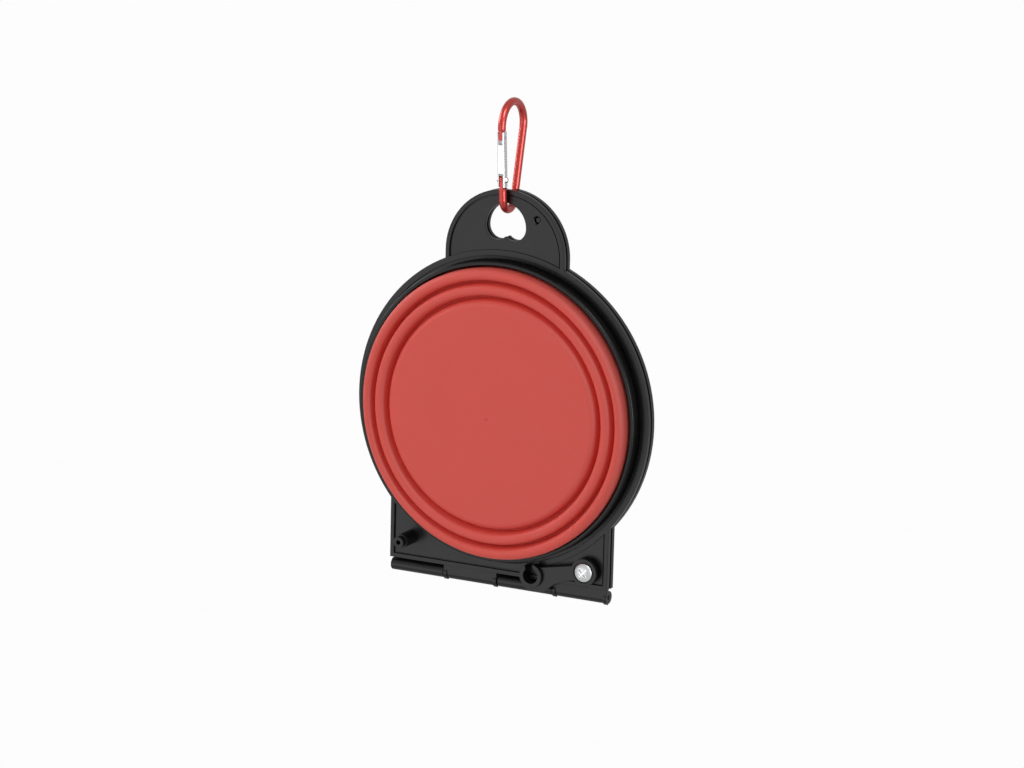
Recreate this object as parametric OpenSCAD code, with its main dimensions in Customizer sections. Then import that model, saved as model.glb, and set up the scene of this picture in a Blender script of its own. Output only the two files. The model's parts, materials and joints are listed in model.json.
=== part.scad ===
// Folding travel bowl: two collapsible silicone bowls in a pair of like plates
// that hinge along one edge, hung from a small carabiner with a sprung gate.
// Millimetres, +Z up. Folded, the plates stand in the X-Z plane and the front
// bowl faces -Y. Depths, named *_d, count outwards from the plane where the
// plates meet. The back half is the front half turned half round about Z.

/* [Bowl] */
// Outer radius of the silicone wall
bowl_r = 63.3; // [58.3:0.5:69.3]
// Thickness of the silicone wall
wall_t = 1.4; // [1.1:0.1:1.7]
// Thickness of the bowl's base
base_t = 1.8; // [1.2:0.1:2.6]
// Width of the outer fold, across its crest
outer_fold_w = 4.4; // [4.2:0.1:5.4]
// Width of the inner fold, across its crest
inner_fold_w = 3.8; // [3.7:0.1:4.6]
// Width of the groove inside the outer fold
outer_groove_w = 2.7; // [2.2:0.1:3.5]
// Width of the groove inside the inner fold
inner_groove_w = 3; // [2.2:0.1:4]
// Depth of the crests of the folds
crest_d = 13.9; // [13.4:0.05:15.5]
// Depth of the base's outer face
base_d = 13.5; // [12:0.05:13.9]
// Height of one step of the wall
step_h = 10; // [8.5:0.1:11]
// Overlap of neighbouring steps when the bowl stands open
step_lap = 0.8; // [0.3:0.1:1.5]
// Gap along each fold line, between two steps
fold_slit = 0.3; // [0.2:0.05:0.5]
// Radius of the moulding mark near the middle of the base
mark_r = 0.9; // [0.5:0.1:1.5]
// Depth of the moulding mark
mark_h = 0.3; // [0.1:0.1:0.6]
// Distance of the moulding mark from the middle, to the left
mark_left = 1.4; // [0:0.1:4]
// Distance of the moulding mark below the middle
mark_down = 2; // [0:0.1:4]

/* [Rim ring] */
// Gap between the silicone wall and the ring
ring_gap = 0.5; // [0.4:0.05:0.8]
// Wall thickness of the ring
ring_t = 1.9; // [1.7:0.1:2.3]
// Rounding of the ring's edges
ring_edge_r = 0.5; // [0.2:0.05:0.8]
// Depth of the ring's outer edge
ring_d = 9.25; // [6.65:0.05:10]
// Width of the ring's seating flange
flange_w = 1.5; // [1:0.1:2]
// Thickness of the ring's seating flange
flange_t = 0.9; // [0.6:0.1:1.1]
// Width of the silicone bead held in the ring
bead_w = 0.9; // [0.6:0.1:1]
// Height of the silicone bead held in the ring
bead_h = 1.3; // [0.9:0.1:2]
// Clearance of a seated piece in its seat
seat_clear = 0.1; // [0.05:0.01:0.15]

/* [Plate] */
// Width of the plate's rim outside the ring
land_w = 4.2; // [3.8:0.1:6]
// Width of the raised rib round the plate's rim
rib_w = 2.6; // [2:0.1:3]
// Depth of the groove between the ring and the rib
rim_groove_h = 0.85; // [0.5:0.05:1.2]
// Thickness of the plate's web
web_t = 2; // [1.8:0.05:2.2]
// Height of the raised lips above the web
lip_h = 0.55; // [0.35:0.05:0.75]
// Width of the lips along the handle and the skirt
lip_w = 1.9; // [1.4:0.1:2.4]
// Width of the groove along the foot of the lips
line_w = 0.5; // [0.3:0.1:0.8]
// Depth of that groove
line_h = 0.4; // [0.2:0.05:0.6]
// Half the gap between the two closed plates
face_gap = 0.6; // [0.45:0.05:0.75]

/* [Handle] */
// Radius of the handle's round end
handle_r = 28.3; // [25:0.1:32]
// How far the centre of that round end lies inside the plate's rim
handle_drop = 2.2; // [0:0.1:5]
// Width of the heart-shaped hole
hole_w = 19.4; // [17:0.1:22]
// Height of the hole's widest line above the centre of the round end
hole_rise = 12.1; // [11:0.1:13]
// How far each half of the hole's arch is struck past the middle
arch_shift = 0.8; // [0.4:0.1:2]
// Radius of the hole's two lower lobes
lobe_r = 5.7; // [5.2:0.1:6]
// Distance of the snap peg and its socket from the middle
peg_x = 14.9; // [13.5:0.1:18]
// Height of the peg and the socket above the centre of the round end
peg_rise = 16.4; // [12:0.1:17]
// Radius of the snap peg
peg_r = 1.15; // [0.8:0.05:1.5]
// Length of the snap peg
peg_len = 1.4; // [1:0.1:2]
// Clearance between the peg and its socket
peg_clear = 0.3; // [0.2:0.05:0.5]
// Width of the bevel round the socket's mouth
socket_bevel = 0.45; // [0.2:0.05:0.8]
// Clearance on each side of the spine in the back handle's slot
spine_clear = 0.6; // [0.4:0.1:1]

/* [Hinge] */
// Length of the hinged edge
skirt_w = 106; // [96:1:116]
// How far the hinged edge lies below the plate's rim
skirt_reach = 2.65; // [1.5:0.05:6]
// Distance of the hinge axis below the hinged edge
hinge_drop = 3.65; // [3.6:0.05:5]
// Radius of the hinge barrel
barrel_r = 2.8; // [2.4:0.1:3.2]
// Radius of the ribs round the ends of the knuckles
knuckle_rib_r = 3.3; // [3.25:0.05:3.35]
// Length of those ribs
knuckle_rib_len = 1.8; // [1:0.1:3]
// Gap between neighbouring knuckles
knuckle_gap = 0.4; // [0.3:0.05:0.8]
// Radius of the hinge pin
pin_r = 1; // [0.8:0.05:1.3]
// Running clearance of the hinge pin
pin_clear = 0.05; // [0.02:0.01:0.1]
// How far the hinge pin stands out at each end
pin_proud = 0.2; // [0.1:0.1:1]

/* [Latch] */
// Distance of the latch pivot from the side edge
latch_in_x = 9.8; // [9:0.1:14]
// Height of the latch pivot above the hinged edge
latch_up_z = 7.45; // [7:0.05:9]
// Distance of the post from the side edge
post_in_x = 10.2; // [9:0.1:13]
// Height of the post above the hinged edge
post_up_z = 10.25; // [8.5:0.05:12]
// Radius of the post's body
post_r = 3.1; // [2.8:0.05:3.4]
// Radius of the post's tip
post_tip_r = 2.45; // [2:0.05:2.7]
// Depth of the post's shoulder
post_shoulder_d = 11.8; // [10:0.05:12.3]
// Depth of the post's end
post_d = 14.4; // [12.5:0.05:15.5]
// Radius of the hole in the post's end
post_hole_r = 0.95; // [0.5:0.05:1.2]
// Length of the hole in the post's end
post_hole_h = 6; // [3:0.5:8]
// Angle of the stowed arm below level
latch_tilt = 11; // [9:0.1:12]
// Depth of the arm's inner face
arm_d = 4; // [3.8:0.05:5]
// Thickness of the arm
arm_t = 2.4; // [1.8:0.1:3]
// Width of the arm
arm_w = 6.4; // [5:0.1:7.5]
// Radius of the arm's pivot end
arm_end_r = 6; // [5.6:0.1:6.5]
// Radius of the hollow in the arm's lower edge
waist_r = 20; // [16:0.5:24]
// Clearance between the post and the arm's eye
eye_clear = 0.3; // [0.25:0.05:0.5]
// Wall thickness of the eye
eye_t = 1.9; // [1.5:0.1:2.2]
// Height of the eye
eye_h = 4; // [3:0.1:5]
// How far the arm's foot round the eye reaches below the eye's wall
eye_foot = 2; // [1:0.1:2.4]
// Width of the eye's mouth
mouth_w = 3.6; // [2:0.1:4.5]
// Radius of the latch screw's shank
screw_r = 1.5; // [1.2:0.05:1.8]
// Running clearance of the arm on the shank
screw_clear = 0.07; // [0.03:0.01:0.1]
// Radius of the latch screw's head
head_r = 4; // [3:0.1:4.6]
// Depth of the arm's hollow for the screw's head
hollow_h = 0.5; // [0.3:0.1:0.9]
// Gap round the screw's head in that hollow
hollow_gap = 0.6; // [0.3:0.1:0.8]
// Height of the rim of the latch screw's head
head_rim_h = 0.7; // [0.4:0.1:1.2]
// Height of the dome of the latch screw's head
head_dome_h = 1.1; // [0.6:0.1:1.6]
// Length of each arm of the cross recess, end to end
recess_l = 4.4; // [3:0.1:5]
// Width of the cross recess
recess_w = 0.9; // [0.6:0.1:1.2]
// Depth of the cross recess
recess_h = 1; // [0.5:0.1:1.4]

/* [Carabiner] */
// Diameter of the rod
rod_d = 3.4; // [3:0.1:3.8]
// Radius of the lower bend, to the middle of the rod
low_bend_r = 5.5; // [5.2:0.1:6.5]
// Radius of the top bend, to the middle of the rod
top_bend_r = 10.1; // [9:0.1:11]
// Height between the centres of the two bends
bend_rise = 30.3; // [29.9:0.1:34]
// How far the centre of the top bend lies behind that of the lower one
bend_shift = 2.1; // [1:0.1:4]
// Clearance between the lower bend and the handles
hang_clear = 0.3; // [0.25:0.05:0.7]
// Width of the gate
gate_w = 3.2; // [3:0.1:3.8]
// Thickness of the gate
gate_t = 3.4; // [3.2:0.1:3.8]
// Radius of the gate's long edges
gate_edge_r = 0.5; // [0.3:0.1:0.6]
// Height of the gate's foot above the end of the lower bend
gate_foot_up = 5.4; // [5:0.1:6]
// Length of the gate
gate_len = 23.8; // [22:0.1:24]
// Gap between the gate's top and the nose's shoulder
gate_gap = 0.4; // [0.3:0.05:0.8]
// Thickness of the flattened ends of the rod
tang_t = 1.5; // [1.2:0.1:1.8]
// Clearance of a flattened end in its slot
tang_clear = 0.2; // [0.15:0.05:0.3]
// Height of the gate's pivot above its foot
pivot_up = 3; // [2.6:0.1:3.6]
// Radius of the rounded heel of the lower flattened end
heel_r = 1.6; // [1.4:0.05:1.8]
// Length of the slot above the heel, which shows as a dark hole
heel_gap = 1.3; // [0.8:0.1:2]
// Depth of the slot in the gate's top
nose_slot = 5.5; // [4.5:0.1:7]
// Distance of the nose pin below the gate's top
nose_pin_down = 2.5; // [2.1:0.1:3]
// Radius of the nose pin
nose_pin_r = 0.55; // [0.4:0.05:0.7]
// Clearance round the nose pin in its notch
notch_clear = 0.3; // [0.2:0.05:0.4]
// Radius of the gate's pivot rivet
rivet_r = 0.8; // [0.6:0.05:1]
// Running clearance of the pivot rivet
rivet_clear = 0.06; // [0.03:0.01:0.1]
// Radius of the rivet's heads
rivet_head_r = 1.3; // [1:0.05:1.6]
// Height of the rivet's heads
rivet_head_h = 1.1; // [0.6:0.1:1.3]
// Radius of the gate's spring wire
spring_r = 0.35; // [0.25:0.05:0.5]
// Length of the spring wire inside the gate
spring_len = 8; // [5:0.5:9]
// Clearance round the spring wire
spring_clear = 0.15; // [0.1:0.05:0.3]

/* [Hidden] */
$fn = 96;
// Margin by which a cut runs past the faces that it opens
past = 1;
rod_r = rod_d / 2;
// The rod's straight lengths are this much thinner and run this far into the bends
rod_step = 0.04;
root = 0.4;

// Radii of the silicone steps, from the wall inwards
step_1_in = bowl_r - outer_fold_w;
step_2_out = step_1_in - outer_groove_w;
step_3_in = step_2_out - inner_fold_w;
base_r = step_3_in - inner_groove_w;
valley_d = crest_d - step_h;
step_travel = step_h - step_lap;

// Rim ring and plate
ring_in = bowl_r + ring_gap;
ring_r = ring_in + ring_t;
plate_r = ring_r + land_w;
web_d = face_gap + web_t;
lip_d = web_d + lip_h;
handle_z = plate_r - handle_drop;
hole_z = handle_z + hole_rise;
arch_r = hole_w / 2 + arch_shift;
hole_top = hole_z + sqrt(pow(arch_r, 2) - pow(arch_shift, 2));
peg_z = handle_z + peg_rise;
slot_w = rod_d + 2 * spine_clear;

// Hinge and latch
skirt_z = -(plate_r + skirt_reach);
skirt_up = plate_r / 2;
hinge_z = skirt_z - hinge_drop;
knuckle_pitch = skirt_w / 4;
knuckle_len = knuckle_pitch - knuckle_gap;
latch_x = skirt_w / 2 - latch_in_x;
latch_z = skirt_z + latch_up_z;
post_x = skirt_w / 2 - post_in_x;
post_z = skirt_z + post_up_z;
// Where the other plate's post comes to when the plates lie open
far_post_z = 2 * hinge_z - post_z;
arm_len = norm([latch_x - post_x, latch_z - far_post_z]);
waist_x = arm_len * 0.3;
latch_swing = atan2(latch_z - far_post_z, latch_x - post_x) - latch_tilt;
eye_r = post_r + eye_clear;
eye_out = eye_r + eye_t;
boss_d = arm_d - seat_clear;
head_d = arm_d + arm_t - hollow_h + seat_clear;
foot_r = eye_out + eye_foot / 4;
foot_y = -(eye_out + eye_foot - foot_r);
screw_tip_d = face_gap + web_t / 3;

// Carabiner, in the plane of its rod: y along, z up
low_z = hole_top + sqrt(pow(low_bend_r - rod_r - hang_clear, 2) - pow(web_d, 2));
top_y = bend_shift;
top_z = low_z + bend_rise;
bend_gap = norm([bend_shift, bend_rise]);
lean = atan2(bend_shift, bend_rise);
spread = acos(-(top_bend_r - low_bend_r) / bend_gap);
spine_turn = 90 - lean - spread;
front_turn = 90 - lean + spread;
leg_len = bend_gap * sin(spread);

// The front leg: where it leaves the lower bend, and how far it leans forwards
leg_y = low_bend_r * cos(front_turn);
leg_z = low_z + low_bend_r * sin(front_turn);
leg_lean = front_turn - 180;

// Heights along the front leg
pivot_h = gate_foot_up + pivot_up;
tang_foot = gate_foot_up - gate_gap - heel_r * 0.4;
slot_top = pivot_h + heel_r + heel_gap;
gate_top = gate_foot_up + gate_len;
nose_foot = gate_top + gate_gap;
nose_pin_h = gate_top - nose_pin_down;
nose_end = nose_pin_h - nose_pin_r - 2 * notch_clear;
tang_slot_w = tang_t + 2 * tang_clear;
tang_w = 2 * sqrt(pow(rod_r - 2 * rod_step, 2) - pow(tang_t / 2, 2));

// The inside of the top bend, where the whole thing hangs
hang_y = top_y;
hang_z = top_z + top_bend_r - rod_r;

echo(latch_swing = latch_swing, base_travel = 4 * step_travel);
echo(swing_pivot = [0, -hang_y, low_z - low_bend_r - hang_z]);
echo(fold_pivot = [0, -hang_y, hinge_z - hang_z]);
echo(front_latch_pivot = [latch_x, -arm_d - hang_y, latch_z - hang_z]);
echo(gate_pivot = [0, leg_y - pivot_h * sin(leg_lean) - hang_y, leg_z + pivot_h * cos(leg_lean) - hang_z]);
echo(bowl_axis = [0, -hang_y, -hang_z], base_face_y = -base_d - hang_y);

// Placing

// Moves a piece from the bowls' axis to the hanging point's frame
module hung() {
    translate([0, -hang_y, -hang_z]) children();
}

// Turns a piece of the front half into the same piece of the back half
module turned() {
    rotate([0, 0, 180]) children();
}

// A flat outline in x and z, solid between two depths
module slab(d0, d1) {
    translate([0, -d0, 0]) rotate([90, 0, 0]) linear_extrude(d1 - d0) children();
}

// A profile in radius and depth, turned round the bowl's axis
module spun() {
    rotate([90, 0, 0]) rotate_extrude() children();
}

// A piece drawn along +Z, set with its foot at a place on the plate, outwards
module standing(x, z, d) {
    translate([x, -d, z]) rotate([90, 0, 0]) children();
}

// A piece drawn along +Z, turned to lie along +X
module lying() {
    rotate([0, 90, 0]) children();
}

// Plates

module handle_shape(inset) {
    leg = handle_r / 3;
    half = handle_r - inset;
    translate([0, handle_z]) circle(half);
    translate([-half, handle_z - leg]) square([2 * half, leg]);
}

module skirt_shape(inset) {
    half = skirt_w / 2 - inset;
    translate([-half, skirt_z + inset]) square([2 * half, skirt_up]);
}

module plate_outline() {
    circle(plate_r);
    handle_shape(0);
    skirt_shape(0);
}

// A lip along an outline's edge, from the plate's round rib outwards
module edge_lip() {
    difference() {
        children(0);
        children(1);
        circle(plate_r - rib_w / 2);
    }
}

module plate_lips() {
    difference() {
        circle(plate_r);
        circle(plate_r - rib_w);
    }
    edge_lip() {
        handle_shape(0);
        handle_shape(lip_w);
    }
    edge_lip() {
        skirt_shape(0);
        skirt_shape(lip_w);
    }
}

// A groove along the foot of the lips on the handle and the skirt
module lip_lines() {
    difference() {
        union() {
            difference() {
                handle_shape(lip_w);
                handle_shape(lip_w + line_w);
            }
            difference() {
                skirt_shape(lip_w);
                skirt_shape(lip_w + line_w);
            }
        }
        circle(plate_r);
    }
}

// The handle's hole: an arch of two arcs over two round lobes
module heart_hole() {
    intersection() {
        translate([-arch_shift, hole_z]) circle(arch_r);
        translate([arch_shift, hole_z]) circle(arch_r);
        translate([-hole_w / 2, hole_z]) square([hole_w, arch_r]);
    }
    for (side = [-1, 1])
        translate([side * (hole_w / 2 - lobe_r), hole_z]) circle(lobe_r);
}

// Ribs on the outer half of a knuckle's two ends
module knuckle_ribs() {
    for (x = [0, knuckle_len - knuckle_rib_len])
        intersection() {
            translate([x, 0, 0]) lying() cylinder(r = knuckle_rib_r, h = knuckle_rib_len);
            translate([x, -knuckle_rib_r, -knuckle_rib_r])
                cube([knuckle_rib_len, knuckle_rib_r - face_gap, 2 * knuckle_rib_r]);
        }
}

// Every second knuckle of the hinge belongs to one plate
module knuckles() {
    for (k = [1, 3])
        translate([-skirt_w / 2 + k * knuckle_pitch + knuckle_gap / 2, 0, hinge_z]) {
            lying() cylinder(r = barrel_r, h = knuckle_len);
            translate([0, -barrel_r, 0])
                cube([knuckle_len, barrel_r - face_gap, hinge_drop + lip_w]);
            knuckle_ribs();
        }
}

module post() {
    standing(-post_x, post_z, face_gap) cylinder(r = post_r, h = post_shoulder_d - face_gap);
    standing(-post_x, post_z, face_gap) cylinder(r = post_tip_r, h = post_d - face_gap);
}

module plate_seat() {
    spun() {
        translate([0, -past]) square([ring_r + seat_clear, lip_d + 2 * past]);
        translate([0, -past])
            square([ring_r + flange_w + seat_clear, past + face_gap + flange_t + seat_clear]);
        translate([0, lip_d - rim_groove_h]) square([plate_r - rib_w, rim_groove_h + past]);
    }
}

module peg_socket() {
    mouth = peg_r + peg_clear;
    standing(peg_x, peg_z, -past) cylinder(r = mouth, h = lip_d + 2 * past);
    standing(peg_x, peg_z, web_d - socket_bevel)
        cylinder(r1 = mouth, r2 = mouth + 2 * socket_bevel, h = 2 * socket_bevel);
}

module plate() {
    difference() {
        union() {
            slab(face_gap, web_d) plate_outline();
            slab(face_gap, lip_d) plate_lips();
            knuckles();
            post();
            standing(latch_x, latch_z, face_gap)
                cylinder(r = head_r + 0.4, h = boss_d - face_gap);
            standing(-peg_x, peg_z, -peg_len) cylinder(r = peg_r, h = peg_len + web_d - lip_h);
        }
        plate_seat();
        slab(web_d - line_h, web_d + lip_h) lip_lines();
        slab(-past, lip_d + past) heart_hole();
        peg_socket();
        translate([-skirt_w, 0, hinge_z]) lying() cylinder(r = pin_r + pin_clear, h = 2 * skirt_w);
        standing(latch_x, latch_z, screw_tip_d - seat_clear)
            cylinder(r = screw_r + screw_clear / 2, h = arm_d);
        standing(-post_x, post_z, post_d - post_hole_h)
            cylinder(r = post_hole_r, h = post_hole_h + past);
    }
}

module front_plate() {
    color("#2b2b2d") hung() plate();
}

// The back handle has a slot above its hole, so that it can leave the spine
module back_plate() {
    color("#2b2b2d") hung() turned() difference() {
        plate();
        slab(-past, lip_d + past)
            translate([-slot_w / 2, hole_z]) square([slot_w, handle_r]);
    }
}

// Rim rings

module rim_ring() {
    spun() difference() {
        union() {
            translate([ring_in, face_gap]) square([ring_t, ring_d - ring_edge_r - face_gap]);
            translate([ring_in + ring_edge_r, face_gap])
                square([ring_t - 2 * ring_edge_r, ring_d - face_gap]);
            for (r = [ring_in + ring_edge_r, ring_r - ring_edge_r])
                translate([r, ring_d - ring_edge_r]) circle(ring_edge_r);
            translate([ring_in, face_gap]) square([ring_t + flange_w, flange_t]);
        }
        translate([0, -past])
            square([bowl_r + bead_w + seat_clear, past + face_gap + bead_h + 2 * seat_clear]);
    }
}

module front_rim_ring() {
    color("#242426") hung() rim_ring();
}

module back_rim_ring() {
    color("#242426") hung() turned() rim_ring();
}

// Silicone steps

// Part of a fold's round: a band of a ring between two radii, on one side of its centre
module fold_band(mid_r, mid_d, fold_r, from_r, to_r, up) {
    intersection() {
        translate([mid_r, mid_d]) difference() {
            circle(fold_r);
            circle(fold_r - wall_t);
        }
        translate([from_r, up ? mid_d : mid_d - fold_r]) square([to_r - from_r, fold_r]);
    }
}

// The half of a crest that belongs to the step outside it
module crest_outer(out_r, fold_w) {
    mid = out_r - fold_w / 2;
    fold_band(mid, crest_d - fold_w / 2, fold_w / 2, mid + fold_slit / 2, out_r, true);
}

// The half of a crest that belongs to the step inside it
module crest_inner(in_r, fold_w) {
    mid = in_r + fold_w / 2;
    fold_band(mid, crest_d - fold_w / 2, fold_w / 2, in_r, mid - fold_slit / 2, true);
}

// The half of a valley that belongs to the step outside it
module valley_outer(in_r, groove_w) {
    fold_r = groove_w / 2 + wall_t;
    mid = in_r - groove_w / 2;
    fold_band(mid, valley_d + fold_r, fold_r, mid + fold_slit / 2, in_r + wall_t, false);
}

// The half of a valley that belongs to the step inside it
module valley_inner(out_r, groove_w) {
    fold_r = groove_w / 2 + wall_t;
    mid = out_r + groove_w / 2;
    fold_band(mid, valley_d + fold_r, fold_r, out_r - wall_t, mid - fold_slit / 2, false);
}

// A straight stretch of wall from the valley's round up to a depth
module step_wall(in_r, low_d, high_d) {
    translate([in_r, low_d]) square([wall_t, high_d - low_d]);
}

outer_valley_mid_d = valley_d + outer_groove_w / 2 + wall_t;
inner_valley_mid_d = valley_d + inner_groove_w / 2 + wall_t;
outer_crest_mid_d = crest_d - outer_fold_w / 2;
inner_crest_mid_d = crest_d - inner_fold_w / 2;

module bowl_rim() {
    foot_d = face_gap + seat_clear;
    spun() {
        step_wall(bowl_r - wall_t, foot_d, outer_crest_mid_d);
        translate([bowl_r - wall_t, foot_d]) square([wall_t + bead_w, bead_h]);
        crest_outer(bowl_r, outer_fold_w);
    }
}

module bowl_step_1() {
    spun() {
        crest_inner(step_1_in, outer_fold_w);
        step_wall(step_1_in, outer_valley_mid_d, outer_crest_mid_d);
        valley_outer(step_1_in, outer_groove_w);
    }
}

module bowl_step_2() {
    spun() {
        valley_inner(step_2_out, outer_groove_w);
        step_wall(step_2_out - wall_t, outer_valley_mid_d, inner_crest_mid_d);
        crest_outer(step_2_out, inner_fold_w);
    }
}

module bowl_step_3() {
    spun() {
        crest_inner(step_3_in, inner_fold_w);
        step_wall(step_3_in, inner_valley_mid_d, inner_crest_mid_d);
        valley_outer(step_3_in, inner_groove_w);
    }
}

module bowl_base() {
    edge_r = wall_t / 2;
    difference() {
        spun() {
            valley_inner(base_r, inner_groove_w);
            step_wall(base_r - wall_t, inner_valley_mid_d, base_d - edge_r);
            translate([0, base_d - base_t]) square([base_r - edge_r, base_t]);
            translate([base_r - edge_r, base_d - edge_r]) circle(edge_r);
        }
        standing(-mark_left, -mark_down, base_d - mark_h) cylinder(r = mark_r, h = mark_h + past);
    }
}

module front_silicone() {
    color("#c8413a") hung() children();
}

module back_silicone() {
    color("#c8413a") hung() turned() children();
}

// Hinge and latch pieces

module hinge_pin() {
    length = skirt_w + 2 * pin_proud;
    color("#9a9a9c") hung() translate([-length / 2, 0, hinge_z])
        lying() cylinder(r = pin_r, h = length);
}

// The arm's outline, from the pivot along +X to the eye
module arm_outline() {
    circle(arm_end_r);
    difference() {
        union() {
            translate([0, -eye_out]) square([arm_len, eye_out + arm_w / 2]);
            translate([waist_x, -eye_out - eye_foot]) square([arm_len - waist_x, eye_foot + past]);
        }
        translate([waist_x, -arm_w / 2 - waist_r]) circle(waist_r);
    }
    translate([arm_len, foot_y]) circle(foot_r);
}

module latch_arm() {
    standing(latch_x, latch_z, arm_d) rotate([0, 0, latch_tilt]) mirror([1, 0, 0]) difference() {
        union() {
            linear_extrude(arm_t) arm_outline();
            translate([arm_len, 0, 0]) cylinder(r = eye_out, h = eye_h);
        }
        translate([0, 0, -past]) cylinder(r = screw_r + screw_clear, h = arm_t + 2 * past);
        translate([0, 0, arm_t - hollow_h]) cylinder(r = head_r + hollow_gap, h = hollow_h + past);
        translate([arm_len, 0, -past]) cylinder(r = eye_r, h = eye_h + 2 * past);
        translate([arm_len - mouth_w / 2, 0, -past]) cube([mouth_w, eye_out + past, eye_h + 2 * past]);
    }
}

module front_latch_arm() {
    color("#2b2b2d") hung() latch_arm();
}

module back_latch_arm() {
    color("#2b2b2d") hung() turned() latch_arm();
}

module screw_head() {
    dome_r = (pow(head_r, 2) + pow(head_dome_h, 2)) / (2 * head_dome_h);
    intersection() {
        cylinder(r = head_r, h = head_rim_h + head_dome_h);
        translate([0, 0, head_rim_h + head_dome_h - dome_r]) sphere(dome_r);
    }
}

module latch_screw() {
    standing(latch_x, latch_z, screw_tip_d) cylinder(r = screw_r, h = head_d - screw_tip_d);
    standing(latch_x, latch_z, head_d) difference() {
        screw_head();
        for (turn = [0, 90])
            rotate([0, 0, turn + 45])
                translate([-recess_l / 2, -recess_w / 2, head_rim_h + head_dome_h - recess_h])
                    cube([recess_l, recess_w, recess_h + past]);
    }
}

module front_latch_screw() {
    color("#c9cbcd") hung() latch_screw();
}

module back_latch_screw() {
    color("#c9cbcd") hung() turned() latch_screw();
}

// Carabiner

// A drawing in y and z stood up in the plane of the carabiner's rod
module rod_plane() {
    rotate([90, 0, 90]) children();
}

// A round bend of the rod about a centre
module bend(y, z, bend_r, from_turn, sweep) {
    rod_plane() translate([y, z, 0]) rotate([0, 0, from_turn])
        rotate_extrude(angle = sweep) translate([bend_r, 0]) circle(rod_r);
}

// A straight length of the rod between two heights
module straight(low, high) {
    translate([0, 0, low]) cylinder(r = rod_r - rod_step, h = high - low);
}

// The straight spine between the two bends
module spine() {
    start_y = low_bend_r * cos(spine_turn);
    start_z = low_z + low_bend_r * sin(spine_turn);
    translate([0, start_y, start_z]) rotate([spine_turn, 0, 0]) straight(-root, leg_len + root);
}

// A piece drawn upwards along the front leg, from the end of the lower bend
module on_leg() {
    translate([0, leg_y, leg_z]) rotate([leg_lean, 0, 0]) children();
}

// A flat end of the rod in the gate's slot, between two heights
module tang(low, high) {
    translate([-tang_t / 2, -tang_w / 2, low]) cube([tang_t, tang_w, high - low]);
}

module nose() {
    difference() {
        tang(nose_end, nose_foot + root);
        translate([-tang_t, 0, nose_pin_h - nose_pin_r - notch_clear])
            cube([2 * tang_t, rod_d, 2 * (nose_pin_r + notch_clear)]);
        across(nose_pin_h, nose_pin_r + notch_clear, 2 * tang_t);
    }
}

module heel() {
    difference() {
        union() {
            tang(tang_foot - root, pivot_h);
            across(pivot_h, heel_r, tang_t);
        }
        across(pivot_h, rivet_r + rivet_clear, 2 * tang_t);
    }
}

module carabiner_body() {
    color("#c22a2c") hung() union() {
        bend(0, low_z, low_bend_r, front_turn, 360 - (front_turn - spine_turn));
        spine();
        bend(top_y, top_z, top_bend_r, spine_turn, front_turn - spine_turn);
        on_leg() {
            straight(-root, tang_foot);
            heel();
            nose();
            straight(nose_foot, leg_len + root);
        }
    }
}

module gate_section() {
    half_w = gate_w / 2 - gate_edge_r;
    half_t = gate_t / 2 - gate_edge_r;
    square([gate_w, 2 * half_t], center = true);
    square([2 * half_w, gate_t], center = true);
    for (x = [-half_w, half_w], y = [-half_t, half_t])
        translate([x, y]) circle(gate_edge_r);
}

// A round hole or pin across the gate
module across(z, r, length) {
    translate([-length / 2, 0, z]) lying() cylinder(r = r, h = length);
}

// A slot through the gate, front to back
module gate_slot(low, high) {
    translate([-tang_slot_w / 2, -gate_t, low]) cube([tang_slot_w, 2 * gate_t, high - low]);
}

module carabiner_gate() {
    color("#d5d7d9") hung() on_leg() difference() {
        translate([0, 0, gate_foot_up]) linear_extrude(gate_len) gate_section();
        gate_slot(gate_foot_up - past, slot_top);
        gate_slot(gate_top - nose_slot, gate_top + past);
        across(pivot_h, rivet_r + rivet_clear / 2, 2 * gate_w);
        across(nose_pin_h, nose_pin_r + rivet_clear / 2, 2 * gate_w);
        translate([0, 0, slot_top - past]) cylinder(r = spring_r + spring_clear, h = spring_len + past);
    }
}

// Half the rivet's section, its axis up: a shank with a domed head at each end
module rivet_profile() {
    dome_r = (pow(rivet_head_r, 2) + pow(rivet_head_h, 2)) / (2 * rivet_head_h);
    translate([0, -gate_w / 2 - root]) square([rivet_r, gate_w + 2 * root]);
    for (end = [0, 1]) mirror([0, end]) intersection() {
        translate([0, gate_w / 2]) square([rivet_head_r, rivet_head_h]);
        translate([0, gate_w / 2 + rivet_head_h - dome_r]) circle(dome_r);
    }
}

module gate_rivet() {
    color("#b9bbbd") hung() on_leg() translate([0, 0, pivot_h]) lying() rotate_extrude() rivet_profile();
}

module gate_nose_pin() {
    color("#b9bbbd") hung() on_leg() across(nose_pin_h, nose_pin_r, gate_w);
}

module gate_spring() {
    foot = pivot_h + heel_r + tang_clear;
    color("#a0a2a4") hung() on_leg() translate([0, 0, foot])
        cylinder(r = spring_r, h = slot_top + spring_len - spring_clear - foot);
}

front_plate();
back_plate();
front_rim_ring();
back_rim_ring();
front_silicone() bowl_rim();  // front_bowl_rim
back_silicone() bowl_rim();  // back_bowl_rim
front_silicone() bowl_step_1();  // front_bowl_step_1
back_silicone() bowl_step_1();  // back_bowl_step_1
front_silicone() bowl_step_2();  // front_bowl_step_2
back_silicone() bowl_step_2();  // back_bowl_step_2
front_silicone() bowl_step_3();  // front_bowl_step_3
back_silicone() bowl_step_3();  // back_bowl_step_3
front_silicone() bowl_base();  // front_bowl_base
back_silicone() bowl_base();  // back_bowl_base
hinge_pin();
front_latch_arm();
back_latch_arm();
front_latch_screw();
back_latch_screw();
carabiner_body();
carabiner_gate();
gate_rivet();
gate_nose_pin();
gate_spring();
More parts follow.
